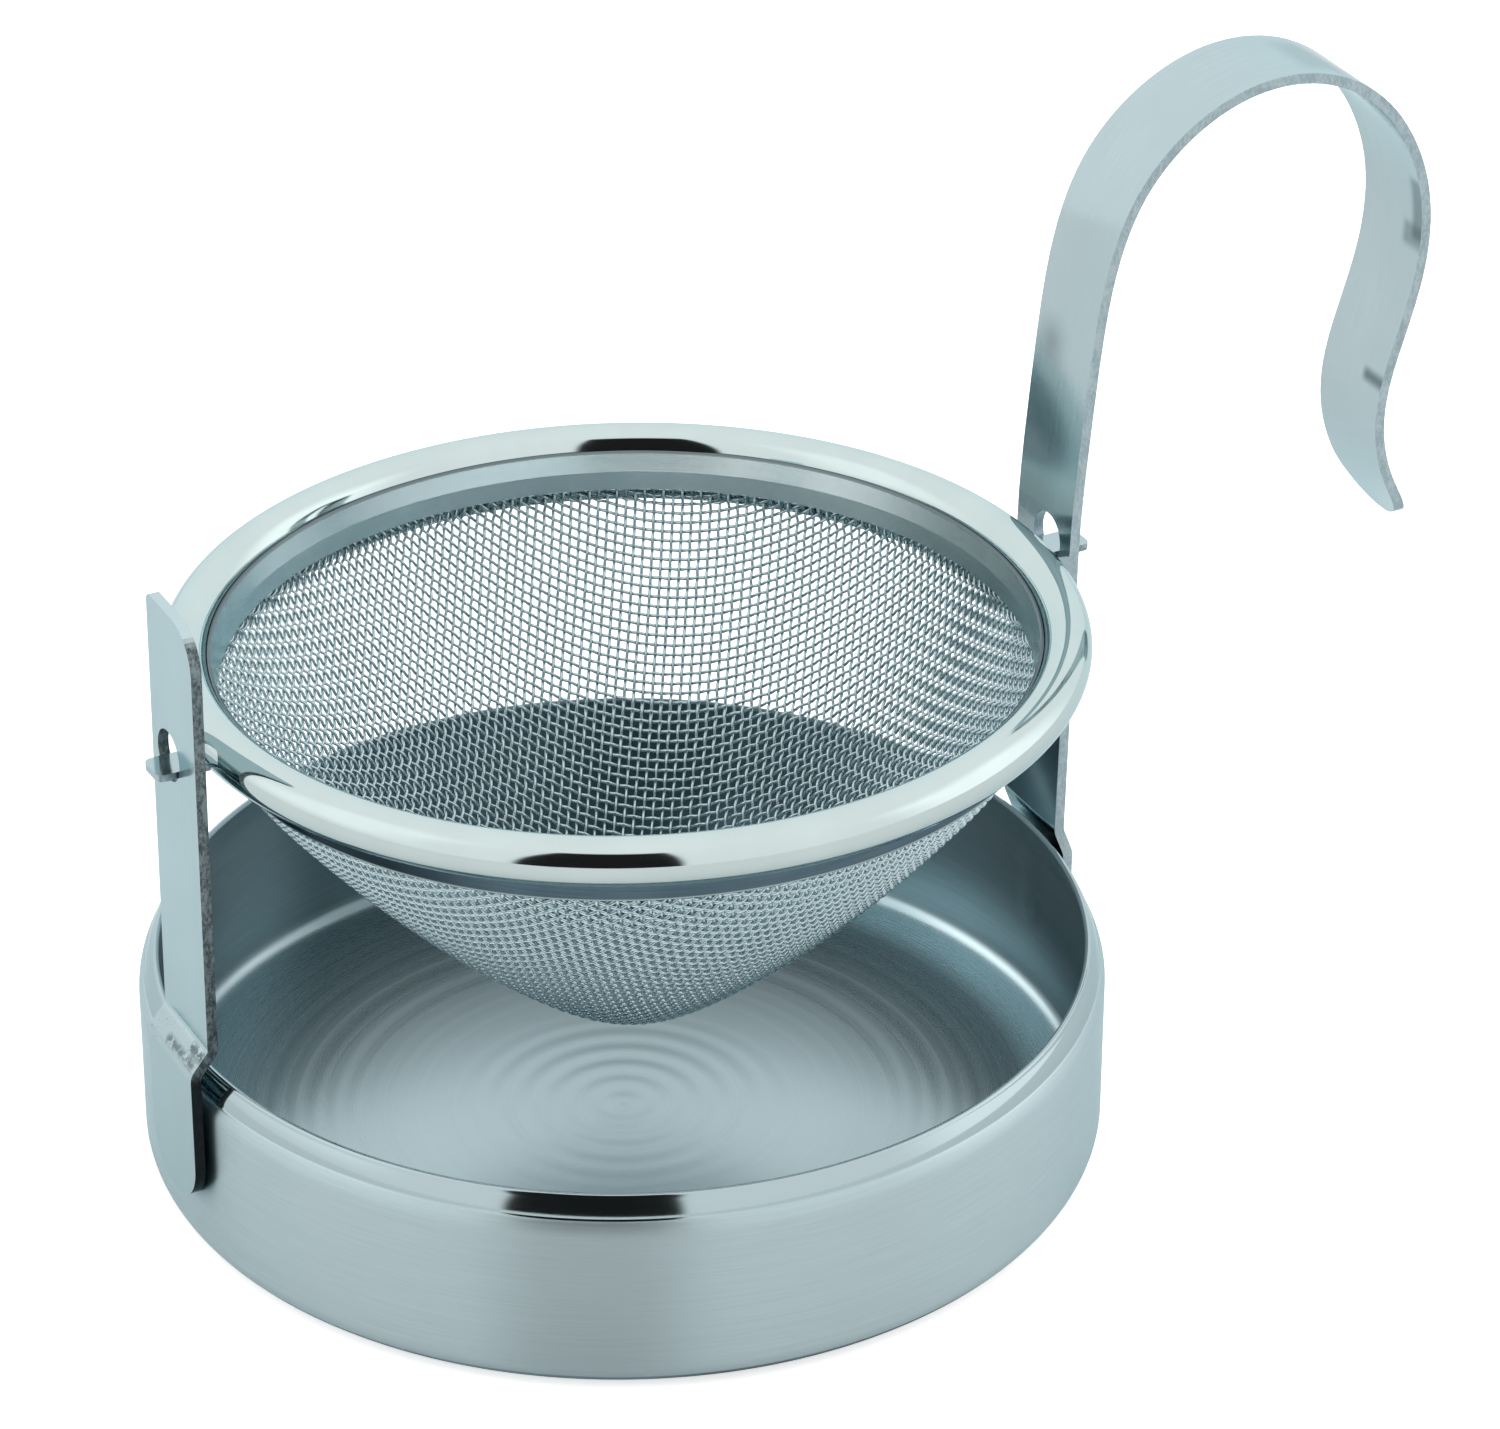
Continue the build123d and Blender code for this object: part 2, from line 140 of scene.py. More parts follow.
def basket_profile():
    """Middle surface of the cloth from the tip up past the rim: rows (radius, height)."""
    top_r, top_z = BASKET[0]
    last_r, last_z = BASKET[-1]
    # a ball-shaped tip meets the last point of the outline
    cap = 2 * math.atan((last_z - TIP_Z) / last_r)
    ball = last_r / math.sin(cap)
    outer = clamped_spline(BASKET, (0, -1), (-math.cos(cap), -math.sin(cap)), 40)
    slope = unit_slopes(outer)
    middle = outer + HALF_CLOTH * np.stack([slope[:, 1], -slope[:, 0]], 1)
    turn = np.linspace(0, cap, 30)[:-1]
    inner_ball = ball - HALF_CLOTH
    tip = np.stack([inner_ball * np.sin(turn), TIP_Z + ball - inner_ball * np.cos(turn)], 1)
    wall_z = np.linspace(top_z, WALL_TOP, 31)[1:]
    wall = np.stack([np.full(30, top_r - HALF_CLOTH), wall_z], 1)
    return np.concatenate([tip, middle[::-1], wall])


# The outline as lookup tables: angle up from straight down, distance from the centre,
# normal to the inside of the cup, and length along the outline from the tip
PROFILE = basket_profile()
_angles = np.arctan2(PROFILE[:, 0], CENTRE_Z - PROFILE[:, 1])
_order = np.argsort(_angles)
ANGLES = _angles[_order]
REACH = np.hypot(PROFILE[:, 0], PROFILE[:, 1] - CENTRE_Z)[_order]
_slopes = unit_slopes(PROFILE)[_order]
NORMAL_R, NORMAL_Z = -_slopes[:, 1], _slopes[:, 0]
_steps = np.linalg.norm(np.diff(PROFILE[_order], axis=0), axis=1)
ARC = np.concatenate([[0], np.cumsum(_steps)])


def cup_polar(x):
    """Distance from the axis, and angle up from straight down about the cup's centre."""
    radius = np.hypot(x[..., 0], x[..., 1])
    return radius, np.clip(np.arctan2(radius, CENTRE_Z - x[..., 2]), 0, ANGLES[-1])


def to_surface(x):
    radius, angle = cup_polar(x)
    reach = np.interp(angle, ANGLES, REACH)
    k = reach * np.sin(angle) / np.maximum(radius, 1e-9)
    return np.stack([x[..., 0] * k, x[..., 1] * k, CENTRE_Z - reach * np.cos(angle)], -1)


def inner_normal(x):
    radius, angle = cup_polar(x)
    radius = np.maximum(radius, 1e-9)
    out, up = np.interp(angle, ANGLES, NORMAL_R), np.interp(angle, ANGLES, NORMAL_Z)
    n = np.stack([out * x[..., 0] / radius, out * x[..., 1] / radius, up], -1)
    return n / np.linalg.norm(n, axis=-1, keepdims=True)


def from_arc(length, azimuth):
    """Point at a length along the outline from the tip."""
    reach, angle = np.interp(length, ARC, REACH), np.interp(length, ARC, ANGLES)
    radius, z = reach * np.sin(angle), CENTRE_Z - reach * np.cos(angle)
    return np.stack([radius * np.cos(azimuth), radius * np.sin(azimuth), z], -1)


# ------------------------------------------------------------------ woven cloth
PITCH = 0.815          # wire spacing
WIRE_R = 0.137
CRIMP = 0.128          # how far each wire swings off the middle surface
WEAVE_AZ = math.radians(56.7)
CUT_Z = -1.62          # cut edge of the cloth
NET_HALF = 68          # meshes from the tip to the edge of the net
RELAX_ROUNDS = 700
RELAX_BEND = 0.3       # how strongly wires resist sharp turns
RELAX_STEP = 0.22      # share of the wanted move made each round
SIDES = 6              # of each wire
PER_PITCH = 4          # rings per mesh


def solve_nodes(left, below, corner):
    """Surface points one pitch from both left and below, on the far side from corner."""
    max_step, singular = 0.3, 1e-3
    x = to_surface(left + below - corner)
    for _ in range(30):
        to_left, to_below = x - left, x - below
        left_len = np.linalg.norm(to_left, axis=1)
        below_len = np.linalg.norm(to_below, axis=1)
        # Newton step in the tangent plane, towards the right length on both edges
        m = np.stack([to_left / left_len[:, None], to_below / below_len[:, None],
                      inner_normal(x)], 1)
        rhs = np.stack([PITCH - left_len, PITCH - below_len, np.zeros_like(left_len)], 1)
        stuck = np.abs(np.linalg.det(m)) < singular
        m[stuck] = np.eye(3)
        rhs[stuck] = 0
        step = np.linalg.solve(m, rhs[:, :, None])[:, :, 0]
        length = np.linalg.norm(step, axis=1)[:, None]
        x = to_surface(x + step * np.minimum(1, max_step / np.maximum(length, 1e-9)))
    return x


def fishnet(n):
    """Equal-edged net laid from the tip over one quadrant of the cup, n by n meshes."""
    tolerance = 0.02
    net = np.full((n + 1, n + 1, 3), np.nan)
    length = np.arange(n + 1) * PITCH
    ok = length < ARC[-1] - 0.2
    net[:, 0][ok] = from_arc(length[ok], 0.0)
    net[0, :][ok] = from_arc(length[ok], math.pi / 2)
    for k in range(2, 2 * n + 1):
        i = np.arange(max(1, k - n), min(n, k - 1) + 1)
        j = k - i
        left, below, corner = net[i - 1, j], net[i, j - 1], net[i - 1, j - 1]
        good = ~(np.isnan(left[:, 0]) | np.isnan(below[:, 0]))
        if not good.any():
            break
        i, j, left, below, corner = i[good], j[good], left[good], below[good], corner[good]
        x = solve_nodes(left, below, corner)
        bad = cup_polar(x)[1] > ANGLES[-1] - 0.005
        for neighbour in (left, below):
            bad |= np.abs(np.linalg.norm(x - neighbour, axis=1) - PITCH) > tolerance
        x[bad] = np.nan
        net[i, j] = x
    return net


def relax(net):
    """Eases the net: edges keep their length, wires resist sharp turns, nodes stay on the cup."""
    good = ~np.isnan(net[..., 0])
    x = np.where(good[..., None], net, 0.0)
    for _ in range(RELAX_ROUNDS):
        move = np.zeros_like(x)
        for axis in (0, 1):
            # views with the wires' own direction first
            at, ok, shift = (a.swapaxes(0, axis) for a in (x, good, move))
            both = ok[:-1] & ok[1:]
            edge = at[1:] - at[:-1]
            length = np.maximum(np.linalg.norm(edge, axis=-1), 1e-9)
            pull = np.where(both, 0.5 * (length - PITCH) / length, 0.0)[..., None] * edge
            shift[:-1] += pull
            shift[1:] -= pull
            trio = ok[:-2] & ok[1:-1] & ok[2:]
            turn = np.where(trio[..., None], at[:-2] + at[2:] - 2 * at[1:-1], 0.0)
            shift[1:-1] += RELAX_BEND * turn
        x = np.where(good[..., None], to_surface(x + RELAX_STEP * move), 0.0)
        x[NET_HALF, NET_HALF] = from_arc(np.array(0.0), 0.0)
    x[~good] = np.nan
    return x


def cloth_net():
    """The quadrant mirrored into a whole net, then eased."""
    n = NET_HALF
    quadrant = fishnet(n)
    net = np.full((2 * n + 1, 2 * n + 1, 3), np.nan)
    span = {1: slice(n, None), -1: slice(0, n + 1)}
    for i in (1, -1):
        for j in (1, -1):
            net[span[i], span[j]] = (quadrant * np.array([i, j, 1.0]))[::i, ::j]
    return relax(net)


def wire(nodes, phase):
    """Tube vertices of one wire through its nodes, one full swing in and out every two nodes."""
    spans = len(nodes) - 1
    padded = np.concatenate([2 * nodes[:1] - nodes[1:2], nodes, 2 * nodes[-1:] - nodes[-2:-1]])
    before, start, end, after = (padded[k:k + spans, None] for k in range(4))
    u = np.arange(PER_PITCH)[:, None] / PER_PITCH
    points = 0.5 * (2 * start + (end - before) * u
                    + (2 * before - 5 * start + 4 * end - after) * u ** 2
                    + (3 * start - before - 3 * end + after) * u ** 3)
    points = to_surface(np.concatenate([points.reshape(-1, 3), nodes[-1:]]))
    normal = inner_normal(points)
    t = np.arange(len(points)) / PER_PITCH
    line = points + (CRIMP * np.cos(math.pi * t) * phase)[:, None] * normal
    along = unit_slopes(line)
    up = normal - (normal * along).sum(1)[:, None] * along
    up /= np.linalg.norm(up, axis=1)[:, None]
    side = np.cross(along, up)
    angle = ((np.arange(SIDES) + 0.5) * 2 * math.pi / SIDES)[None, :, None]
    ring = line[:, None] + WIRE_R * (np.cos(angle) * up[:, None] + np.sin(angle) * side[:, None])
    return ring.reshape(-1, 3)


def join_wires(name, wires):
    """One mesh of several capped wires."""
    quads, caps, base = [], [], 0
    for verts in wires:
        quads.append(band_faces(len(verts) // SIDES, SIDES) + base)
        caps.append(np.arange(SIDES)[::-1] + base)
        base += len(verts)
        caps.append(np.arange(SIDES) + base - SIDES)
    return new_mesh(name, place(np.concatenate(wires)), [np.concatenate(quads), np.array(caps)])


def thirds(wires):
    """Splits the wires into three groups of about equal size."""
    total = sum(len(verts) for verts in wires)
    groups, current, filled = [], [], 0
    for verts in wires:
        current.append(verts)
        filled += len(verts)
        if filled >= total / 3 and len(groups) < 2:
            groups.append(current)
            current, filled = [], 0
    return groups + [current]


def weave():
    net = cloth_net()
    c, s = math.cos(WEAVE_AZ), math.sin(WEAVE_AZ)
    turn = np.array([[c, -s, 0], [s, c, 0], [0, 0, 1.0]])
    parts = []
    # warp and weft pass each crossing on opposite sides
    for name, side, lines in (("warp", 1, net.swapaxes(0, 1)), ("weft", -1, net)):
        wires = []
        for number, nodes in enumerate(lines):
            kept = np.flatnonzero(nodes[:, 2] < CUT_Z)
            if len(kept) < 3:
                continue
            nodes = nodes[kept[0]:kept[-1] + 1]
            if np.isnan(nodes).any():
                continue
            wires.append(wire(nodes @ turn.T, side * (-1) ** (kept[0] + number)))
        for k, group in enumerate(thirds(wires)):
            parts.append(join_wires(f"cloth_{name}_{k + 1}", group))
    return parts


# ------------------------------------------------------------------ bowl and rolled rim
BOWL_R = 40.0
SHEET = 0.6            # bowl wall thickness
BOWL_INNER_R = BOWL_R - SHEET
CORNER = 2.2           # outer radius between base and wall
POLE_R = 1.0           # first ring about each pole of the base

# Shallow round dents pressed outward in the wall: side of the bowl in x, middle in y
DENT_COLUMNS = ((-1, SHORT_ARM_Y), (1, HANDLE_ARM_Y))
DENT_HEIGHTS = (8.6, 12.2)
DENT_FLAT, DENT_FADE, DENT_DEPTH = 1.35, 0.45, 0.05

BEAD_R = 35.58         # middle of the rolled bead
BEAD_THICK = 1.96      # radius of its section
SKIRT_OUT, SKIRT_IN = 34.28, 33.88
SKIRT_FOOT = BASKET[0][1]
EASE, EASE_MID = 0.1, 0.03     # rounding of the skirt's lower corners


def arc3(a, b, c, n):
    """n + 1 points on the circle through a, b and c, from a to c."""
    a, b, c = (np.array(q, float) for q in (a, b, c))
    chords = 2 * np.array([b - a, c - a])
    centre = np.linalg.solve(chords, np.array([b @ b - a @ a, c @ c - a @ a]))
    radius = np.linalg.norm(a - centre)
    t0, t1, t2 = (math.atan2(q[1] - centre[1], q[0] - centre[0]) for q in (a, b, c))
    span = (t2 - t0) % (2 * math.pi)
    if (t1 - t0) % (2 * math.pi) > span:
        span = -((t0 - t2) % (2 * math.pi))
    t = t0 + span * np.linspace(0, 1, n + 1)
    return np.stack([centre[0] + radius * np.cos(t), centre[1] + radius * np.sin(t)], 1)


def straight(a, b, n):
    a, b = np.array(a, float), np.array(b, float)
    return a + (b - a) * np.linspace(0, 1, n + 1)[:, None]


def run(pieces):
    """Joins pieces of a profile, dropping repeated points."""
    out = [np.array(pieces[0][0], float)]
    for piece in pieces:
        for q in np.asarray(piece, float):
            if np.linalg.norm(q - out[-1]) > 1e-6:
                out.append(q)
    return np.array(out)


def turned(name, profile, segments, shape=None, poles=None, move=None):
    """Surface of revolution about Z from rows (r, z), anticlockwise seen with r to the right.

    shape: gives new radii from arrays of radius, height and angle.
    poles: heights on the axis that close an open outline at its first and last rows.
    move: takes millimetres to metres where the piece isn't drawn in place."""
    count = len(profile)
    r = np.repeat(profile[:, :1], segments, 1)
    z = np.repeat(profile[:, 1:], segments, 1)
    angle = np.repeat((np.arange(segments) * 2 * math.pi / segments)[None], count, 0)
    if shape is not None:
        r = shape(r, z, angle)
    verts = np.stack([r * np.cos(angle), r * np.sin(angle), z], -1).reshape(-1, 3)
    faces = [band_faces(count, segments, closed=poles is None)]
    if poles is not None:
        first_pole = len(verts)
        last_ring = first_pole - segments
        verts = np.concatenate([verts, [[0, 0, poles[0]], [0, 0, poles[1]]]])
        j = np.arange(segments)
        beside = (j + 1) % segments
        faces.append(np.stack([np.full(segments, first_pole), beside, j], -1))
        faces.append(np.stack(
            [np.full(segments, first_pole + 1), last_ring + j, last_ring + beside], -1))
    return new_mesh(name, move(verts) if move else verts * MM, faces)


def dented(r, z, angle):
    """Pushes the inner face of the bowl wall outward at the dents."""
    x, y = r * np.cos(angle), r * np.sin(angle)
    on_wall = np.abs(r - BOWL_INNER_R) < 0.01
    out = r.copy()
    for side, middle_y in DENT_COLUMNS:
        for middle_z in DENT_HEIGHTS:
            away = np.hypot(y - middle_y, z - middle_z)
            t = np.clip((away - DENT_FLAT) / DENT_FADE, 0, 1)
            dip = DENT_DEPTH * (1 - t * t * (3 - 2 * t))
            out = np.where((x * side > 0) & on_wall, out + dip, out)
    return out


def bowl_mesh():
    """Outside from the base up, over the inturned lip, and back down the inside."""
    diagonal = math.sqrt(0.5)
    bend_r = BOWL_R - CORNER
    inner_corner = CORNER - SHEET
    outer_mid = (bend_r + CORNER * diagonal, CORNER - CORNER * diagonal)
    inner_mid = (bend_r + inner_corner * diagonal, CORNER - inner_corner * diagonal)
    profile = run([
        straight((POLE_R, 0.0), (bend_r, 0.0), 12),
        arc3((bend_r, 0.0), outer_mid, (BOWL_R, CORNER), 14),
        straight((BOWL_R, CORNER), (BOWL_R, 14.3), 12),
        arc3((BOWL_R, 14.3), (39.895, 15.05), (39.58, 15.75), 8),
        arc3((39.52, 15.78), (39.20, 16.72), (38.8, 17.45), 10),
        arc3((38.8, 17.45), (38.52, 17.7), (38.24, 17.45), 12),
        arc3((38.24, 17.45), (38.62, 16.55), (39.02, 15.55), 10),
        arc3((39.02, 15.55), (39.32, 14.75), (BOWL_INNER_R, 14.0), 8),
        straight((BOWL_INNER_R, 14.0), (BOWL_INNER_R, CORNER), 26),
        arc3((BOWL_INNER_R, CORNER), inner_mid, (bend_r, SHEET), 12),
        straight((bend_r, SHEET), (POLE_R, SHEET), 14),
    ])
    return turned("turned_bowl", profile, 560, dented, poles=(0.0, SHEET))


def rim_mesh():
    """The bead, with a thin skirt hanging from its inner underside."""
    def bead_angle(radius):
        """Where the underside of the bead crosses a radius."""
        out = radius - BEAD_R
        return math.atan2(-math.sqrt(BEAD_THICK ** 2 - out ** 2), out)

    t = np.linspace(bead_angle(SKIRT_OUT), bead_angle(SKIRT_IN) + 2 * math.pi, 97)
    bead = np.stack([BEAD_R + BEAD_THICK * np.cos(t), BEAD_THICK * np.sin(t)], 1)
    inner_foot = (SKIRT_IN, SKIRT_FOOT + EASE)
    outer_foot = (SKIRT_OUT, SKIRT_FOOT + EASE)
    profile = run([
        [
            inner_foot, (SKIRT_IN + EASE_MID, SKIRT_FOOT + EASE_MID),
            (SKIRT_IN + EASE, SKIRT_FOOT), (SKIRT_OUT - EASE, SKIRT_FOOT),
            (SKIRT_OUT - EASE_MID, SKIRT_FOOT + EASE_MID), outer_foot,
        ],
        straight(outer_foot, bead[0], 8),
        bead,
        straight(bead[-1], inner_foot, 6),
    ])[:-1]
    return turned("rolled_rim", profile, 512, move=place)


# ------------------------------------------------------------------ node helpers
class Signal:
    """Output of a shader node. Arithmetic on it makes Math nodes, operands in written order."""
    def __init__(self, nodes, socket):
        self.nodes, self.socket = nodes, socket

    def math(self, operation, *others):
        return self.nodes.math(operation, self, *others)

    def __add__(self, other):
        return self.math("ADD", other)

    def __radd__(self, other):
        return self.nodes.math("ADD", other, self)

    def __sub__(self, other):
        return self.math("SUBTRACT", other)

    def __rsub__(self, other):
        return self.nodes.math("SUBTRACT", other, self)

    def __mul__(self, other):
        return self.math("MULTIPLY", other)

    def __truediv__(self, other):
        return self.math("DIVIDE", other)

    def rise(self, lo, hi):
        """Smooth step from 0 at lo to 1 at hi."""
        limits = {"Value": self, "From Min": lo, "From Max": hi}
        return self.nodes.make("ShaderNodeMapRange", limits, interpolation_type="SMOOTHSTEP")

    def rise_mm(self, lo, hi):
        return self.rise(lo * MM, hi * MM)

    def within(self, lo, hi, soft, unit=MM):
        """1 between lo and hi, fading over soft to either side of both."""
        lo, hi, soft = lo * unit, hi * unit, soft * unit
        return self.rise(lo - soft, lo + soft) * (1.0 - self.rise(hi - soft, hi + soft))

    def ramp(self, lo=0.3, hi=0.7, to=(0.0, 1.0)):
        """Straight ramp; the default limits hold most of a noise."""
        return self.nodes.make("ShaderNodeMapRange", {
            "Value": self, "From Min": lo, "From Max": hi, "To Min": to[0], "To Max": to[1]})

    def mix(self, off, on):
        """off where this is 0, on where it is 1."""
        return self.nodes.make("ShaderNodeMix", {0: self, 2: off, 3: on}, data_type="FLOAT")

    def colour(self, off, on):
        """The same for colours."""
        return self.nodes.make("ShaderNodeMix", {0: self, 6: off, 7: on}, output=2,
                               data_type="RGBA")

    def split(self):
        node = self.nodes.node("ShaderNodeSeparateXYZ")
        self.nodes.put(node.inputs[0], self)
        return [Signal(self.nodes, socket) for socket in node.outputs]


class Nodes:
    """The node tree of a material or world, emptied but for its output node."""
    def __init__(self, owner, output_kind="ShaderNodeOutputMaterial"):
        owner.use_nodes = True
        self.tree = owner.node_tree
        self.tree.nodes.clear()
        self.output = self.node(output_kind).inputs[0]

    def node(self, kind, **settings):
        node = self.tree.nodes.new(kind)
        for name, value in settings.items():
            setattr(node, name, value)
        return node

    def put(self, socket, value):
        """value: a Signal, a number or an (r, g, b) tuple."""
        if isinstance(value, Signal):
            self.tree.links.new(value.socket, socket)
        elif isinstance(value, tuple):
            socket.default_value = (*value, 1.0)
        else:
            socket.default_value = value

    def make(self, kind, inputs=None, output=0, **settings):
        node = self.node(kind, **settings)
        for key, value in (inputs or {}).items():
            self.put(node.inputs[key], value)
        return Signal(self, node.outputs[output])

    def math(self, operation, *values):
        if len(values) == 1:
            values = (*values, 0.0)
        return self.make("ShaderNodeMath", dict(enumerate(values)), operation=operation)

    def xyz(self, x, y, z):
        return self.make("ShaderNodeCombineXYZ", {0: x, 1: y, 2: z})

    def noise(self, at, scale=1.0, detail=2.0, rough=0.5, dims="3D"):
        place_input = "W" if dims == "1D" else "Vector"
        inputs = {place_input: at, "Scale": scale, "Detail": detail, "Roughness": rough}
        return self.make("ShaderNodeTexNoise", inputs, output="Fac", noise_dimensions=dims)

    def grain(self, axes, per_metre, detail, rough):
        """Noise with its own fineness along each axis."""
        stretched = self.xyz(*(axis * k for axis, k in zip(axes, per_metre)))
        return self.noise(stretched, detail=detail, rough=rough)

    def bump(self, height, strength, distance_mm, normal=None):
        inputs = {"Strength": strength, "Distance": distance_mm * MM, "Height": height}
        if normal:
            inputs["Normal"] = normal
        return self.make("ShaderNodeBump", inputs)

    def normal(self, output="Normal"):
        return self.make("ShaderNodeNewGeometry", output=output)


class Metal(Nodes):
    def __init__(self, name):
        self.material = bpy.data.materials.new(name)
        super().__init__(self.material)
        self.coords = self.make("ShaderNodeTexCoord", output="Object")

    def finish(self, colour, roughness, normal=None, stretch=None, stretch_turn=0.0):
        """stretch: anisotropy of highlights round the Z axis."""
        inputs = {
            "Metallic": 1.0,
            "Specular Tint": (0.72, 0.84, 0.87),
            "Base Color": colour,
            "Roughness": roughness,
        }
        if normal:
            inputs["Normal"] = normal
        if stretch is not None:
            inputs["Anisotropic"] = stretch
            inputs["Anisotropic Rotation"] = stretch_turn
            inputs["Tangent"] = self.make("ShaderNodeTangent", direction_type="RADIAL", axis="Z")
        self.put(self.output, self.make("ShaderNodeBsdfPrincipled", inputs))
        return self.material


STEEL = (0.435, 0.535, 0.56)


def tint(k, warm=0.0):
    """The steel colour times k; warm takes a little green and more blue out of it."""
    r, g, b = STEEL
    return (min(1.0, r * k), min(1.0, g * k * (1 - 0.05 * warm)),
            min(1.0, b * k * (1 - 0.10 * warm)))


# ------------------------------------------------------------------ materials
def ripple(radius, wavelength_mm):
    return (radius * (2 * math.pi / (wavelength_mm * MM))).math("SINE")


def bowl_material():
    """Brushed round the wall, turned in rings on the floor, with a polished outer lip band."""
    metal = Metal("brushed_bowl_steel")
    x, y, z = axes = metal.coords.split()
    radius = (x * x + y * y).math("SQRT")
    normal_z = metal.normal().split()[2]

    # regions
    sheet_middle = z.ramp(lo=14.0 * MM, hi=17.4 * MM, to=(39.7 * MM, 38.5 * MM))
    inside = (sheet_middle - radius).rise_mm(lo=-0.02, hi=0.02)
    lip = z.within(lo=15.77, hi=19, soft=0.02) * radius.rise_mm(lo=38.1, hi=38.3)
    lip = lip * (1.0 - inside)
    floor = (1.0 - z.rise_mm(lo=0.9, hi=1.6)) * normal_z.rise(lo=0.2, hi=0.6)

    # brushing on the wall: long in the round direction, fine in height
    streak = metal.grain(axes, per_metre=(170.0, 170.0, 15000.0), detail=4.0, rough=0.65)
    broad_streak = metal.grain(axes, per_metre=(60.0, 60.0, 5200.0), detail=2.0, rough=0.5)
    # rings on the floor: fine ones everywhere, broad ones stronger towards the middle
    ring = metal.noise(radius * 3600.0, detail=4.0, rough=0.7, dims="1D")
    broad_ring = metal.noise(radius * 560.0, detail=1.5, rough=0.5, dims="1D")
    central = 1.0 - radius.rise_mm(lo=14, hi=30)
    lines = floor.mix(off=streak * 0.7 + broad_streak * 0.3,
                      on=ring * 0.5 + broad_ring * (0.25 + central * 0.45))

    cloud = metal.noise(metal.coords, scale=120.0, detail=3.0, rough=0.6)
    roughness = lines.ramp(lo=0.25, hi=0.75, to=(0.36, 0.44)) + (cloud - 0.5) * 0.05
    roughness = floor.mix(off=roughness, on=lines.ramp(lo=0.25, hi=0.75, to=(0.25, 0.34)))
    roughness = lip.math("MAXIMUM", 0.0).mix(off=roughness, on=0.085)

    # colours: outside; inside wall and floor painted darker than the outside as shade, with
    # painted light and shade round the wall and a painted highlight at the floor's +X edge; lip
    # band
    colour = lines.ramp().colour(off=tint(0.93), on=tint(1.10))
    # inner wall colours, painted darker than the outside as shade
    wall = lines.ramp().colour(off=(0.330, 0.470, 0.524), on=(0.430, 0.600, 0.660))
    # painted light and shade round the inner wall: lighter on the -X side and low down on the +X
    # side, darker between and higher up
    left_light = x.rise_mm(lo=-17, hi=-10).mix(off=1.25, on=0.80)
    right_light = z.rise_mm(lo=3.0, hi=9.0).mix(off=1.40, on=0.72)
    wall_light = x.rise_mm(lo=15, hi=28).mix(off=left_light, on=right_light)
    wall = (wall_light * 0.5).colour(off=(0.0, 0.0, 0.0), on=wall)
    colour = (inside * (1.0 - floor)).colour(off=colour, on=wall)
    # floor colours, painted darker than the outside as shade
    base = lines.ramp().colour(off=(0.335, 0.425, 0.452), on=(0.395, 0.500, 0.530))
    # painted highlight along the floor's outer edge on the +X side
    painted_floor_highlight = radius.rise_mm(lo=33, hi=36.5) * x.rise_mm(lo=8, hi=28)
    base = painted_floor_highlight.colour(off=base, on=(0.78, 0.96, 1.0))
    colour = floor.colour(off=colour, on=base)
    colour = lip.colour(off=colour, on=tint(0.84))

    stretch = floor.mix(off=0.93, on=radius.ramp(lo=2 * MM, hi=20 * MM, to=(0.10, 0.84)))
    # gentle ripples on the floor near the middle and again further out
    near = ripple(radius, 2.45) * (1.0 - radius.rise_mm(lo=7, hi=17))
    far = ripple(radius, 1.7) * radius.within(lo=22, hi=31, soft=3)
    swell = metal.bump((near + far * 0.35) * floor, strength=1.0, distance_mm=0.016)
    relief = lines * (1.0 - (lip * 0.9 + floor * 0.80))
    normal = metal.bump(relief, strength=0.30, distance_mm=0.02, normal=swell)
    return metal.finish(colour, roughness, normal,
                        stretch=lip.mix(off=stretch, on=0.1), stretch_turn=0.25)


class Buffed(Metal):
    """Polished steel with fine buffing lines round the Z axis and faint wear."""
    def __init__(self, name, shade, rough):
        super().__init__(name)
        x, y, z = self.axes = self.coords.split()
        radius = (x * x + y * y).math("SQRT")
        stretched = self.xyz(x * 120.0, y * 120.0, z * 9000.0 + radius * 9000.0)
        self.lines = self.noise(stretched, detail=3.0, rough=0.6)
        self.cloud = self.noise(self.coords, scale=160.0, detail=4.0, rough=0.6)
        self.roughness = (self.lines * 0.5 + self.cloud * 0.5).ramp(to=rough)
        self.colour = self.cloud.ramp().colour(
            off=tint(shade * 0.97, warm=1.0), on=tint(shade * 1.03, warm=1.0))

    def finish_buffed(self, strength, depth_mm):
        """strength and depth_mm: relief of the buffing lines, over a slow waviness."""
        wave = self.noise(self.coords, scale=70.0, detail=1.0, rough=0.4)
        wavy = self.bump(wave, strength=0.5, distance_mm=0.22)
        normal = self.bump(self.lines, strength, depth_mm, normal=wavy)
        return self.finish(self.colour, self.roughness, normal, stretch=0.3)


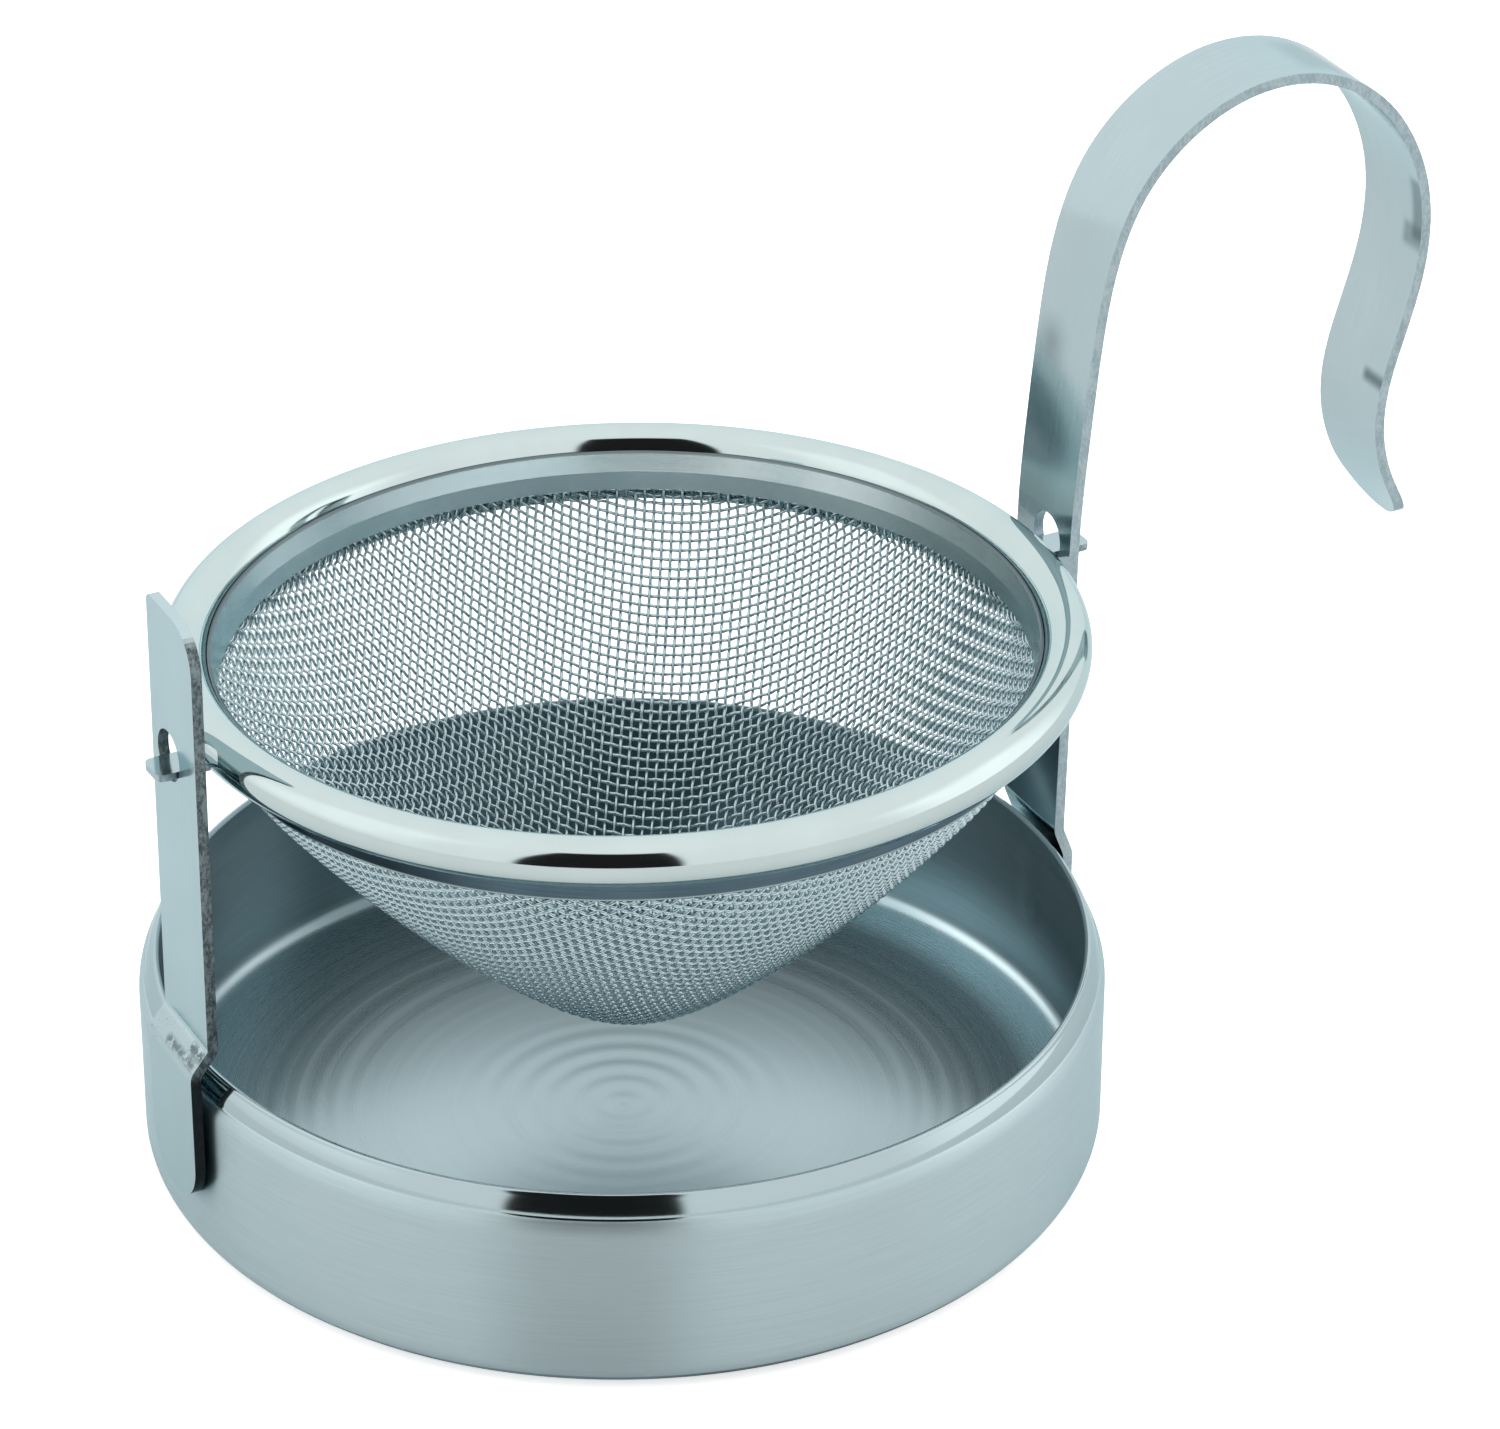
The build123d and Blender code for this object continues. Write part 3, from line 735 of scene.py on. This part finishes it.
def rim_material():
    """Bright bead; the skirt under it is painted dark as shade, darkest on the -X side, with a
    painted light edge at its foot, and is less polished.
    """
    metal = Buffed("polished_rim_steel", shade=1.12, rough=(0.045, 0.085))
    x, y, z = metal.axes
    # back to the strainer's own level axes
    local_x = x - STRAINER[0] * MM
    local_y = y * COS_TILT + (z - PIVOT_Z * MM) * SIN_TILT
    local_r = (local_x * local_x + local_y * local_y).math("SQRT")
    drop = (PIVOT_Z * COS_TILT + (STRAINER[2] - PIVOT_Z)) * MM
    local_z = y * -SIN_TILT + (z * COS_TILT - drop)

    low = 1.0 - local_z.rise_mm(lo=-1.75, hi=-1.45)
    near = 1.0 - local_r.rise_mm(lo=34.32, hi=34.45)
    skirt = low * near * local_r.rise_mm(lo=33.9, hi=34.0)
    # the skirt's lowest edge keeps most of the bright bead colour: a painted light edge
    foot = 1.0 - local_z.rise_mm(lo=-4.22, hi=-4.05)
    skirt = skirt * (1.0 - foot * 0.8)

    wear = (metal.lines * 0.6 + metal.cloud * 0.4).ramp()
    # painted shade on the skirt under the bead, darkest on the -X side
    painted_skirt_shade = wear.colour(off=(0.012, 0.020, 0.028), on=(0.021, 0.036, 0.047))
    painted_skirt_half_shade = wear.colour(off=(0.056, 0.092, 0.116), on=(0.092, 0.146, 0.176))
    painted_skirt_shade = local_x.rise_mm(lo=-30, hi=-22).colour(off=painted_skirt_shade, on=painted_skirt_half_shade)
    metal.colour = skirt.colour(off=metal.colour, on=painted_skirt_shade)
    metal.roughness = skirt.mix(off=metal.roughness, on=metal.lines.ramp(to=(0.24, 0.34)))
    return metal.finish_buffed(strength=0.12, depth_mm=0.004)


def hoop_material():
    """Satin steel with painted light on the +Y side, lightest towards +X, and a painted shade
    along its top edge.
    """
    metal = Buffed("satin_hoop_steel", shade=0.86, rough=(0.18, 0.28))
    x, y, z = metal.axes
    # painted light: lighter on the +Y side, lightest towards +X
    light = x.rise_mm(lo=8, hi=26).colour(off=(0.78, 0.92, 0.95), on=(0.94, 1.0, 1.0))
    colour = y.rise_mm(lo=0, hi=20).colour(off=metal.colour, on=light)
    # painted shade: a dark band along the top edge
    top = (z + y * -SIN_TILT).rise_mm(lo=45.28, hi=45.42)
    metal.colour = top.colour(off=colour, on=tint(0.30))
    return metal.finish_buffed(strength=0.35, depth_mm=0.012)


# Painted shade and painted reflections as soft dark spots on the strips, mm: x0, x1, y0, y1, z0,
# z1, softness; then depth 0 to 1
# short arm: painted shade in the crease of its bend
SHORT_ARM_PAINTED_SHADE = (
    (-48.0, -30.0, -6.0, 4.0, 18.5, 20.2, 0.30, 0.17),
    (-48.0, -30.0, -4.9, 0.3, 18.85, 19.25, 0.35, 0.85),
    (-48.0, -30.0, -5.4, -3.0, 19.5, 20.2, 0.35, 0.75),
)
# handle arm: painted dark reflections on its faces
HANDLE_ARM_PAINTED_REFLECTIONS = (
    (38.0, 50.0, 1.0, 4.0, 60.0, 63.0, 1.8, 0.42),
    (38.0, 50.0, -0.5, 6.0, 40.0, 59.0, 1.8, 0.16),
    (38.0, 50.0, -6.0, 6.0, 40.0, 49.5, 2.0, 0.26),
    (71.6, 75.0, -4.5, -2.4, 66.2, 71.8, 0.5, 0.55),
    (71.6, 75.0, -4.5, -1.2, 65.4, 67.4, 0.5, 0.45),
    (66.0, 72.5, -4.6, -1.0, 53.2, 54.2, 0.45, 0.70),
    (61.5, 66.0, -2.5, 3.6, 80.5, 85.0, 1.4, 0.30),
)


def hollow_normal(metal, y, edge, hollow):
    """Tilts the normal across the flats, as if the strip were slightly gutter-shaped."""
    normal = metal.normal()
    tilt = (HANDLE_ARM_Y * MM - y) * -hollow * normal.split()[0] * (1.0 - edge)
    tilted = metal.make("ShaderNodeVectorMath", {0: normal, 1: metal.xyz(0.0, tilt, 0.0)},
                        operation="ADD")
    return metal.make("ShaderNodeVectorMath", {0: tilted}, operation="NORMALIZE")


def strip_material(name, shade, edge_shades, foot=0.0, hollow=0.0, painted_dark_spots=()):
    """Satin flats with lengthwise scratches; sheared edges with a torn grain.

    foot: how far the edge is painted dark as shade low down, just above the bowl.
    hollow: tilt of the shading normal per metre across the width."""
    metal = Metal(name)
    coords = metal.coords
    x, y, z = axes = coords.split()
    edge = metal.normal("True Normal").split()[1].math("ABSOLUTE").rise(lo=0.55, hi=0.8)
    # satin is long in x and z, fine across the width
    satin = metal.grain(axes, per_metre=(160.0, 11000.0, 160.0), detail=3.0, rough=0.6)
    grain = metal.grain(axes, per_metre=(5200.0, 4200.0, 2600.0), detail=3.0, rough=0.7)
    torn = metal.grain(axes, per_metre=(1600.0, 400.0, 700.0), detail=2.0, rough=0.5)
    cloud = metal.noise(coords, scale=90.0, detail=3.0, rough=0.55)
    flat_rough = satin.ramp(to=(0.12, 0.18)) + (cloud - 0.5) * 0.08
    roughness = edge.mix(off=flat_rough, on=grain.ramp(to=(0.30, 0.5)))

    colour = (satin * 0.5 + cloud * 0.5).ramp().colour(
        off=tint(shade * 0.91), on=tint(shade * 1.04))
    dark, light = edge_shades
    dark = tuple(c * dark * f for c, f in zip(STEEL, (0.94, 1.0, 1.04)))
    edge_colour = (grain * 0.65 + torn * 0.35).rise(lo=0.38, hi=0.62).colour(
        off=dark, on=tint(light))
    if foot:
        # pitted bend just above the bowl edge
        speck = metal.noise(coords, scale=2600.0, detail=3.0, rough=0.75).rise(lo=0.60, hi=0.70)
        patch = metal.noise(coords, scale=700.0, detail=2.0, rough=0.6).rise(lo=0.44, hi=0.58)
        bend = z.within(lo=18.0, hi=20.6, soft=0.5) * patch
        colour = (bend * speck).colour(off=colour, on=tint(0.16))
        # painted shade: the edge goes near black low down, just above the bowl
        low = (1.0 - z.rise_mm(lo=17.7, hi=19.0)) * foot
        edge_colour = low.colour(off=edge_colour, on=tint(0.03))
    # painted shade and painted reflections laid on as dark spots
    for x0, x1, y0, y1, z0, z1, soft, depth in painted_dark_spots:
        spot = x.within(x0, x1, soft) * y.within(y0, y1, soft) * z.within(z0, z1, soft)
        if foot and depth > 0.4:
            # the deeper painted shade spots near the bowl have ragged edges
            ragged = metal.noise(coords, scale=1300.0, detail=3.0, rough=0.7)
            spot = spot * ragged.rise(lo=0.40, hi=0.52)
        colour = (spot * depth).colour(off=colour, on=(0.035, 0.060, 0.072))

    relief = edge.mix(off=satin * 0.25, on=grain + torn)
    shading = hollow_normal(metal, y, edge, hollow) if hollow else None
    normal = metal.bump(relief, strength=0.5, distance_mm=0.02, normal=shading)
    return metal.finish(edge.colour(off=colour, on=edge_colour), roughness, normal)


def wire_material():
    """Cloth wire, with painted light where it faces out of the cup."""
    metal = Metal("woven_wire_steel")
    cloud = metal.noise(metal.coords, scale=400.0, detail=2.0, rough=0.6)
    fine = metal.noise(metal.coords, scale=6000.0, detail=2.0, rough=0.6)
    colour = cloud.ramp().colour(off=tint(0.95), on=tint(1.05))
    x, y, z = metal.coords.split()
    normal_x, normal_y, normal_z = metal.normal().split()
    # about 1 where the normal points away from the axis at the cup's full radius, in metres
    outward = (x * normal_x + y * normal_y - normal_z * 0.02) / 0.035
    # painted light: the wires are lighter on their outward-facing side
    colour = outward.rise(lo=0.05, hi=0.5).colour(off=colour, on=tint(1.26))
    return metal.finish(colour, fine.ramp(to=(0.2, 0.32)))


def weld_material():
    metal = Metal("weld_steel")
    fine = metal.noise(metal.coords, scale=3000.0, detail=4.0, rough=0.7)
    return metal.finish(
        colour=fine.ramp().colour(off=tint(0.4), on=tint(0.7)),
        roughness=fine.ramp(to=(0.4, 0.65)),
        normal=metal.bump(fine, strength=0.6, distance_mm=0.05))


# ------------------------------------------------------------------ pieces
def dress_cad_pieces(materials):
    for node, material in materials.items():
        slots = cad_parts[node].data.materials
        slots.clear()
        slots.append(material)


def fit(ob, material, body, node):
    """Gives a new piece its material and puts it in place of a CAD piece."""
    ob.data.materials.append(material)
    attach(ob, body)
    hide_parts(node)


def build_pieces():
    bowl_steel = bowl_material()
    rim_steel = rim_material()
    hoop_steel = hoop_material()
    # the short arm's edges are painted much darker than the others: painted shade over their real
    # torn grain
    short_steel = strip_material("satin_short_strip", shade=1.04, edge_shades=(0.15, 0.50),
                                 foot=0.95, painted_dark_spots=SHORT_ARM_PAINTED_SHADE)
    handle_steel = strip_material("satin_handle_strip", shade=0.95, edge_shades=(0.66, 0.90),
                                  hollow=25.0, painted_dark_spots=HANDLE_ARM_PAINTED_REFLECTIONS)
    lug_steel = strip_material("bead_lug_steel", shade=0.92, edge_shades=(0.40, 0.80))
    wire_steel = wire_material()
    weld_steel = weld_material()

    dress_cad_pieces({
        "short_arm": short_steel,
        "handle_arm": handle_steel,
        "inner_hoop": hoop_steel,
        "short_arm_lug": lug_steel,
        "handle_arm_lug": lug_steel,
        "short_arm_weld_nuggets": weld_steel,
        "handle_arm_weld_nuggets": weld_steel,
        "hoop_weld_nuggets": weld_steel,
    })
    bowl, rim = bowl_mesh(), rim_mesh()
    fit(bowl, bowl_steel, "bowl_frame", "drip_bowl")
    fit(rim, rim_steel, "strainer", "strainer_rim")
    for cloth in weave():
        fit(cloth, wire_steel, "strainer", "mesh_basket")


# ------------------------------------------------------------------ floor, light and camera
WHITE = (1.0, 1.0, 1.0)


def stage_floor():
    """Floor just under the bowl; it glows to the camera but not to the product."""
    half, z = 3.0, -0.0002     # metres
    corners = ((-half, -half, z), (half, -half, z), (half, half, z), (-half, half, z))
    ob = new_mesh("floor", np.array(corners), [np.array([[0, 1, 2, 3]])], smooth=False)
    material = bpy.data.materials.new("floor")
    nodes = Nodes(material)
    seen = nodes.make("ShaderNodeLightPath", output="Is Camera Ray")
    matt = nodes.make("ShaderNodeBsdfDiffuse", {"Color": (0.9, 0.9, 0.9)})
    glow = nodes.make("ShaderNodeEmission", {"Color": WHITE, "Strength": 0.62})
    lit = nodes.make("ShaderNodeAddShader", {0: matt, 1: glow})
    nodes.put(nodes.output, nodes.make("ShaderNodeMixShader", {0: seen, 1: matt, 2: lit}))
    ob.data.materials.append(material)


def world_light():
    """Even white light with two soft boxes and a dark card; plain white to the camera."""
    world = bpy.data.worlds.new("studio")
    bpy.context.scene.world = world
    nodes = Nodes(world, "ShaderNodeOutputWorld")
    x, y, z = nodes.make("ShaderNodeTexCoord", output="Generated").split()
    # degrees: azimuth 0 looks to -Y, +90 to +X
    elevation = z.math("ARCSINE") * (180 / math.pi)
    azimuth = x.math("ARCTAN2", y * -1.0) * (180 / math.pi)

    def lobe(middle, half, bottom, top, soft_side, soft_end):
        """Soft-edged patch of the sky, in degrees."""
        away = (azimuth - middle).math("WRAP", 180.0, -180.0).math("ABSOLUTE")
        across = 1.0 - away.rise(half - soft_side, half + soft_side)
        return across * elevation.within(bottom, top, soft_end, unit=1.0)

    light = elevation.ramp(lo=0.0, hi=90.0, to=(1.26, 1.32))
    right_box = lobe(middle=70.0, half=24.0, bottom=-12.0, top=42.0, soft_side=12.0, soft_end=10.0)
    light = light + right_box * 0.42
    left_box = lobe(middle=-105.0, half=22.0, bottom=10.0, top=60.0, soft_side=12.0, soft_end=10.0)
    light = light + left_box * 0.22
    # dark card on the camera's side
    card = lobe(middle=-33.0, half=19.5, bottom=-2.0, top=63.0, soft_side=1.2, soft_end=3.0)
    light = light * (1.0 - card * 0.985)
    seen = nodes.make("ShaderNodeLightPath", output="Is Camera Ray")
    strength = seen.mix(off=light, on=1.0)
    nodes.put(nodes.output,
              nodes.make("ShaderNodeBackground", {"Color": WHITE, "Strength": strength}))


def camera():
    azimuth, elevation, roll = (math.radians(d) for d in (-27.625, 29.925, -0.185))
    frame_origin = np.array([-10.61, -33.12, -506.332])    # in the camera's axes, mm
    level = math.cos(elevation)
    back = np.array([math.sin(azimuth) * level, -math.cos(azimuth) * level, math.sin(elevation)])
    right = np.array([math.cos(azimuth), math.sin(azimuth), 0.0])
    c, s = math.cos(roll), math.sin(roll)
    rolled = np.array([[c, -s, 0], [s, c, 0], [0, 0, 1.0]])
    axes = rolled @ np.stack([right, np.cross(back, right), back])
    pose = np.eye(4)
    pose[:3, :3] = axes.T
    pose[:3, 3] = -(axes.T @ frame_origin) * MM

    cam = bpy.data.cameras.new("camera")
    ob = bpy.data.objects.new("camera", cam)
    bpy.context.scene.collection.objects.link(ob)
    ob.matrix_world = Matrix(pose.tolist())
    cam.sensor_fit = "HORIZONTAL"
    cam.sensor_width = 36.0
    cam.lens = 144.281832
    cam.clip_start = 0.01
    cam.clip_end = 100.0
    bpy.context.scene.camera = ob


def render_settings():
    scene = bpy.context.scene
    scene.view_settings.view_transform = "Standard"
    scene.view_settings.look = "None"
    scene.view_settings.exposure = 0.0
    scene.view_settings.gamma = 1.0
    scene.cycles.max_bounces = 12
    scene.cycles.glossy_bounces = 8
    scene.cycles.diffuse_bounces = 3


build_pieces()
stage_floor()
world_light()
camera()
render_settings()
